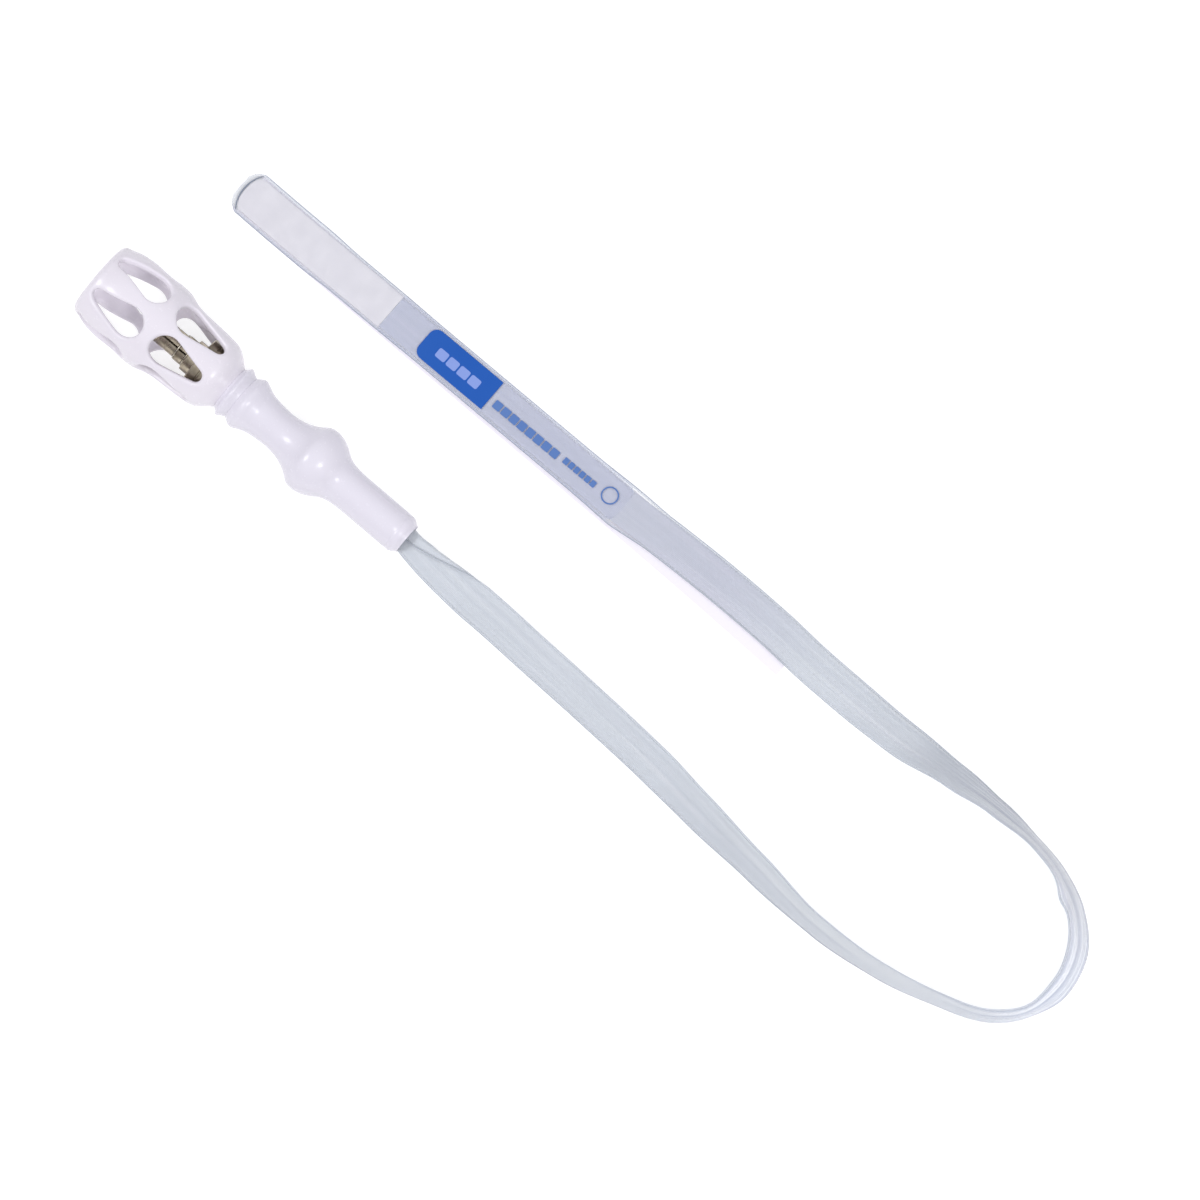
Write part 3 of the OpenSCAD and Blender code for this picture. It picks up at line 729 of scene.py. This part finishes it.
def ribbon_rings():
    """Rings across the ribbon: where each is, which way is across and which way is out."""
    places = ribbon_places()
    made, along = [], 0
    for i, (place, roll, share) in enumerate(places):
        ahead = places[min(len(places) - 1, i + 1)][0] - places[max(0, i - 1)][0]
        ahead.normalize()
        level = Vector((-ahead.y, ahead.x, 0)).normalized()
        up = ahead.cross(level)
        if i:
            along += (place - places[i - 1][0]).length
        made.append(SimpleNamespace(
            place=place, side=level * math.cos(roll) + up * math.sin(roll),
            out=up * math.cos(roll) - level * math.sin(roll),
            widen=(max(0, min(1, (LABEL_END + WIDEN_LEN - place.x) / WIDEN_LEN))
                   if place.y > MAT_Y / 2 else 0),
            fold=1.1 * RIBBON_W * (1 - share), thin=1 - 0.5 * (1 - share), along=along,
            full=RIBBON_W / 2, bow=BOW_DEPTH * bell(along, BOW_AT, BOW_LEN), round_tip=0,
            crease=sum(depth * bell(along, middle, width) for middle, depth, width in CREASES)))
    return made


def curl(x):
    """How far the mat's tip is lifted at x."""
    return 0 if x > CURL_START else TIP_CURL * ((CURL_START - x) / (CURL_START - TIP_X)) ** 2


def curl_slope(x):
    return 0 if x > CURL_START else 2 * TIP_CURL * (CURL_START - x) / (CURL_START - TIP_X) ** 2


def mat_ring(x, shift, skew, along_at_label):
    """A ring across the mat, or across the liner, which lies shift off it and at an angle to it
    that grows towards its free end."""
    slope = curl_slope(x)
    drift = shift + skew * (x + max(0, x - LABEL_END) ** 2 / LINER_SWING)
    return SimpleNamespace(place=Vector((x, MAT_Y - drift, MID_Z + curl(x))),
                           side=Vector((0, -1, 0)), out=Vector((slope, 0, 1)).normalized(),
                           widen=1, fold=0, thin=1, bow=0, crease=0, full=RIBBON_W / 2,
                           along=along_at_label + LABEL_END - x,
                           round_tip=max(0, 1 - (x - TIP_X) / TIP_REACH) ** 2)


RIBBON = ribbon_rings()
ALONG_AT_LABEL = RIBBON[-1].along + (RIBBON[-1].place - Vector((LABEL_END, MAT_Y, MID_Z))).length


def mat_rings(start, end, step=3.0, shift=0, skew=0):
    """Rings of the mat from one x to another, closer together towards the round tip."""
    places, x = [start], start
    while x > end + 0.1:
        near_tip = x - TIP_X
        x -= step if near_tip > TIP_REACH else max(0.12, min(step, near_tip * 0.12))
        places.append(max(end, x))
    return [mat_ring(x, shift, skew, ALONG_AT_LABEL) for x in places]


def ribbon_point(ring, across, height):
    """A place across the flat sleeve and a height over its middle, once the sleeve is folded over
    on itself at the exit and bowed in the bend."""
    height *= ring.thin
    half, start = ring.full, ring.full - ring.fold
    if ring.fold > 0.01 and across > start:
        turn = (across - start) / FOLD_R
        if turn < math.pi:
            u = start + (FOLD_R - height) * math.sin(turn)
            w = FOLD_R - (FOLD_R - height) * math.cos(turn)
        else:
            u = start - (across - start - math.pi * FOLD_R)
            w = 2 * FOLD_R - height
    else:
        u, w = across, height
    # What is left of the width is centred, and in the bend it bows with shallow ripples
    reach = start + FOLD_R * math.sin(min(ring.fold / FOLD_R, math.pi / 2))
    u -= (reach - half) / 2
    w += ring.bow * (0.5 - (u / half) ** 2 + 0.22 * math.sin(8 * u / half + 0.03 * ring.along))
    w -= ring.crease * max(0, u / half) ** 2
    if ring.round_tip:
        back = ring.round_tip * (TIP_ARC_R - math.sqrt(TIP_ARC_R ** 2 - min(u * u, 80)))
        x = ring.place.x + back
        out = Vector((curl_slope(x), 0, 1)).normalized()
        return Vector((x, ring.place.y, MID_Z + curl(x))) + ring.side * u + out * w
    return ring.place + ring.side * u + ring.out * w


def add_strip(name, rings, half, shares, low, high, material, stands_for, body="grip", sharp=50):
    """A thin closed layer through rings. half(ring) is its half width, shares run from -1 to 1
    across it, and low and high give its two faces' heights from the ring and the share."""
    points, uvs, faces = [], [], []
    columns = len(shares)
    for ring in rings:
        wide = half(ring)
        for level in (low, high):
            for share in shares:
                points.append(ribbon_point(ring, share * wide, level(ring, share)))
                uvs.append(((share + 1) / 2, ring.along / 100))
    row = 2 * columns
    for k in range(len(rings) - 1):
        a = k * row
        for i in range(columns - 1):
            faces.append((a + i, a + i + 1, a + row + i + 1, a + row + i))
            b = a + columns + i
            faces.append((b, b + row, b + row + 1, b + 1))
        for i in (0, columns - 1):
            faces.append((a + i, a + row + i, a + row + columns + i, a + columns + i))
    for a in (0, (len(rings) - 1) * row):
        for i in range(columns - 1):
            faces.append((a + i, a + i + 1, a + columns + i + 1, a + columns + i))
    return add_mesh(name, points, faces, material, body, stands_for, sharp=sharp, uvs=uvs)


def tip_half(ring, full, corner=2.0):
    """Half width, with the corners of the tip rounded."""
    depth = ring.place.x - TIP_X
    if depth > corner or ring.place.y < MAT_Y / 2:
        return full
    return full - corner * (1 - math.sqrt(max(0, 1 - (1 - depth / corner) ** 2)))


def sleeve_half(ring):
    full = RIBBON_W / 2 + ring.widen * (MAT_W - RIBBON_W) / 2
    if ring.widen:
        # The welded edges stand out a little more at the label's end and round the tip
        full += 0.4 * bell(ring.place.x, LABEL_END, 10) + 0.2 * ease((30 - ring.place.x) / 20)
        full += 0.45 * ease((-6 - ring.place.x) / 14)
    return tip_half(ring, full)


def even_shares(count):
    """Places from -1 to 1 across a layer, count steps apart."""
    return [2 * k / count - 1 for k in range(count + 1)]


# ---- fibres and sleeve ----
WELD = 0.7                          # the films are welded together outside the fibres
STRANDS, STRAND_RIDGE = 24, 0.025
FILM_T, FIBRE_HALF_T = 0.12, 0.18
FILM_PINCH, FILM_SWELL = 0.015, 0.27  # half the room between the films at the welds and inside
fibre_rings = RIBBON + mat_rings(LABEL_END, PANEL_END + 0.05)
sleeve_rings = RIBBON + mat_rings(LABEL_END, TIP_X)


def strand_ridge(share):
    """The rounded top of each strand of fibres, from 0 in the grooves to 1."""
    return abs(math.sin(math.pi * STRANDS / 2 * (share + 1)))


def fibre_edge(share):
    """The thickness of the fibres as a share of the full one: less at the ribbon's edges."""
    return 1 - abs(share) ** 12 * 0.7


def fibre_high(ring, share):
    return (FIBRE_HALF_T + STRAND_RIDGE * strand_ridge(share)) * fibre_edge(share)


def fibre_low(ring, share):
    return -fibre_high(ring, share)


def sleeve_gap(ring, share):
    """Half the room between the two films, pinched almost to nothing at the welded edges."""
    inside = (1 - abs(share)) * sleeve_half(ring) - WELD
    swell = 0.02 * math.sin(ring.along * 0.31 + 5 * share) + 0.02 * math.sin(ring.along * 0.083)
    if inside <= 0:
        return FILM_PINCH
    return FILM_PINCH + (FILM_SWELL + swell) * min(1, inside / 0.8) ** 0.5


# More points across the films near their edges, where the films meet
edge_shares = {s * sign for s in (0.985, 0.96, 0.93, 0.895, 0.87, 0.84) for sign in (-1, 1)}
film_shares = sorted(set(even_shares(20)) | edge_shares)
ribbon = add_strip("fibre_ribbon_strands", fibre_rings, lambda ring: RIBBON_W / 2 - WELD,
                   even_shares(STRANDS * 4), fibre_low, fibre_high, FIBRES, ["fibre_ribbon"])
film_top = add_strip("sleeve_upper_film", sleeve_rings, sleeve_half, film_shares, sleeve_gap,
                     lambda ring, share: sleeve_gap(ring, share) + FILM_T, CLEAR_FILM,
                     ["sleeve_film_top"])
film_low = add_strip("sleeve_lower_film", sleeve_rings, sleeve_half, film_shares,
                     lambda ring, share: -sleeve_gap(ring, share) - FILM_T,
                     lambda ring, share: -sleeve_gap(ring, share), CLEAR_FILM,
                     ["sleeve_film_bottom"])


# ---- mat ----
# Heights of the mat's layers over the table, and sizes of their ends
LINER_LOW, LINER_HIGH = 0.02, 0.17
SEAL_LOW, SEAL_HIGH = 0.7, 1.14
SEAL_GAP, SEAL_FAR = 0.2, 0.65      # from the panel's tip to the seal's near and far side
PANEL_LOW, PANEL_OVER = 0.86, 0.24  # PANEL_OVER is over the sleeve's middle
LABEL_LOW, LABEL_HIGH = 1.5, 1.57
PANEL_CORNER = 2.4                  # rounding of the panel's corners at the tip
LABEL_CORNER = 3.5                  # and of the label's corners at its other end


def flat_level(z):
    """A face at a height over the table in the mat."""
    return lambda ring, share: z - MID_Z


def panel_half(ring):
    depth = min(1, (ring.place.x - PANEL_TIP) / PANEL_CORNER)
    return PANEL_W / 2 - PANEL_CORNER * (1 - math.sqrt(max(0, 1 - (1 - depth) ** 2)))


panel = add_strip("light_panel_weave", mat_rings(PANEL_END, PANEL_TIP, 2), panel_half,
                  even_shares(16), flat_level(PANEL_LOW),
                  lambda ring, share: PANEL_OVER - 0.06 * share ** 6, PANEL_WEAVE, ["light_panel"])
seal = add_strip("tip_seal_bead", mat_rings(PANEL_TIP - SEAL_GAP, PANEL_TIP - SEAL_FAR),
                 lambda ring: MAT_W / 2 - 0.2, even_shares(16), flat_level(SEAL_LOW),
                 flat_level(SEAL_HIGH), SEAL_STRIP, ["tip_seal"])
liner = add_strip("liner_sheet", mat_rings(LINER_END, TIP_X + 0.8, 3, LINER_SHIFT, LINER_SKEW),
                  lambda ring: tip_half(ring, LINER_W / 2), even_shares(12),
                  flat_level(LINER_LOW), flat_level(LINER_HIGH), LINER_FILM, ["release_liner"],
                  "liner")


def label_half(ring):
    depth = min(1, (LABEL_END - ring.place.x) / LABEL_CORNER)
    return MAT_W / 2 - 0.15 - LABEL_CORNER * (1 - math.sqrt(1 - (1 - depth) ** 2))


label_rings = (mat_rings(LABEL_END, LABEL_END - LABEL_CORNER, 0.35)
               + mat_rings(LABEL_END - 6, PANEL_END + 0.2))
label = add_strip("label_film_sheet", label_rings, label_half, even_shares(14),
                  flat_level(LABEL_LOW), flat_level(LABEL_HIGH), LABEL_CLEAR, ["label_film"])


# ---- print on the label ----
# A block, plain bars and an empty ring: nothing here is lettering.


def rounded_box(x0, x1, y0, y1, radii, steps=6):
    """An outline with a radius for each corner, from the corner at (x0, y0) anticlockwise."""
    corners = [(x0, y0, 1, 1, 180), (x1, y0, -1, 1, 270), (x1, y1, -1, -1, 0), (x0, y1, 1, -1, 90)]
    outline = []
    for (x, y, to_x, to_y, start), r in zip(corners, radii):
        if r <= 0:
            outline.append((x, y))
        else:
            outline += arc(x + to_x * r, y + to_y * r, r, start, start + 90, steps)
    return outline


def bars(start, pitch, count, length, low, high, radius):
    """Outlines of equal bars in a row along the label."""
    places = [start + pitch * k for k in range(count)]
    return [rounded_box(x, x + length, low, high, (radius,) * 4, 3) for x in places]


def add_print(name, outlines, z, thickness, material, stands_for=()):
    points, faces = [], []
    for outline in outlines:
        start, size = len(points), len(outline)
        for level in (z, z + thickness):
            points += [(x, y, level) for x, y in outline]
        faces.append(tuple(range(start, start + size)))
        faces.append(tuple(range(start + size, start + 2 * size)))
        for i in range(size):
            j = (i + 1) % size
            faces.append((start + i, start + j, start + size + j, start + size + i))
    piece = add_mesh(name, points, faces, material, "grip", stands_for)
    return piece


PRINT_Z, BLOCK_T, PALE_T, DARK_T = 1.59, 0.04, 0.02, 0.03
MARK_X, MARK_Y, MARK_INNER_R, MARK_OUTER_R = 104.3, 53.9, 2.5, 2.95

block = add_print("print_block", [rounded_box(26, 54.6, 48.5, 59.8, (3, 0.2, 0.2, 3))], PRINT_Z,
                  BLOCK_T, PRINT_BLUE, ["label_print"])
pale_bars = add_print("print_pale_bars", bars(31.8, 4.5, 4, 3.9, 52.2, 55.5, 0.6),
                      PRINT_Z + BLOCK_T, PALE_T, PRINT_PALE)
dark_bars = add_print("print_dark_bars",
                      bars(56.6, 3.4, 8, 2.9, 51.4, 54.3, 0.3)
                      + bars(85.5, 2.25, 6, 1.8, 52.2, 54.4, 0.2),
                      PRINT_Z, DARK_T, PRINT_DARK)


def add_print_ring():
    """A ring with a square section, in place of the figure in a ring."""
    points, faces = [], []
    steps = 48
    for r in (MARK_INNER_R, MARK_OUTER_R):
        for level in (PRINT_Z, PRINT_Z + DARK_T):
            points += [(MARK_X + x, MARK_Y + y, level)
                       for x, y in arc(0, 0, r, 0, 360, steps)[:-1]]
    order = [0, 1, 3, 2]
    for n in range(4):
        a, b = order[n] * steps, order[(n + 1) % 4] * steps
        for i in range(steps):
            j = (i + 1) % steps
            faces.append((a + i, a + j, b + j, b + i))
    piece = add_mesh("print_ring", points, faces, PRINT_DARK, "grip")
    return piece


ring_mark = add_print_ring()

# ---- CAD nodes that stay, with better materials ----
for node, material in (("hub_clip", CLIP_STEEL), ("bundle_ferrule", FERRULE_METAL),
                       ("fibre_bundle", BUNDLE_FIBRES), ("bundle_sleeve", SHRINK_SLEEVE),
                       ("exit_plug", POTTING_RESIN), ("reflector_backing", REFLECTOR),
                       ("adhesive_strip", ADHESIVE)):
    mesh = frame["nodes"][node].data
    if mesh.materials:
        for i in range(len(mesh.materials)):
            mesh.materials[i] = material
    else:
        mesh.materials.append(material)


# ---- floor and light ----
def add_floor():
    """A pale floor that is large enough to fill low views to the horizon."""
    mesh = bpy.data.meshes.new("floor")
    size, z = 8.0, -0.0002
    mesh.from_pydata([(-size, -size, z), (size, -size, z), (size, size, z), (-size, size, z)], [],
                     [(0, 1, 2, 3)])
    look = Look("floor", 0.9, emission_strength=0.66)
    look.set("Emission Color", (1, 1, 1, 1))
    look.set("Base Color", look.mix(look.noise(3, 2), "#B6B6B7", "#BABABB"))
    mesh.materials.append(look.material)
    floor = bpy.data.objects.new("floor", mesh)
    bpy.context.scene.collection.objects.link(floor)


def add_light(name, place, size, power, target=(0.1, 0.02, 0)):
    """A soft light that faces target, with place and size in metres and power in watts."""
    data = bpy.data.lights.new(name, "AREA")
    data.shape = "RECTANGLE"
    data.size, data.size_y = size
    data.energy = power
    light = bpy.data.objects.new(name, data)
    bpy.context.scene.collection.objects.link(light)
    light.location = place
    light.rotation_euler = (Vector(target) - Vector(place)).to_track_quat("-Z", "Y").to_euler()


def add_world():
    """An even, slightly cool surround."""
    world = bpy.data.worlds.new("studio")
    world.use_nodes = True
    background = world.node_tree.nodes["Background"]
    background.inputs["Color"].default_value = (0.97, 0.98, 1, 1)
    # Dimmer towards the horizon, so that the sides of round parts are a little darker
    nodes, links = world.node_tree.nodes, world.node_tree.links
    split, height = nodes.new("ShaderNodeSeparateXYZ"), nodes.new("ShaderNodeMapRange")
    links.new(nodes.new("ShaderNodeTexCoord").outputs["Generated"], split.inputs[0])
    links.new(split.outputs["Z"], height.inputs["Value"])
    height.inputs["To Min"].default_value = 0.1
    height.inputs["To Max"].default_value = 0.95
    links.new(height.outputs["Result"], background.inputs["Strength"])
    bpy.context.scene.world = world


add_floor()
add_world()
add_light("key", (-0.64, -0.41, 1.17), (0.42, 0.32), 6)
add_light("fill", (0.85, -0.17, 1.13), (0.32, 0.24), 4.4)
add_light("low", (0.55, 0.0, 0.13), (0.12, 0.08), 0.24, (0.31, 0.03, 0))
bpy.context.scene.view_settings.view_transform = "Standard"
bpy.context.scene.cycles.transparent_max_bounces = 32  # light passes through many film faces
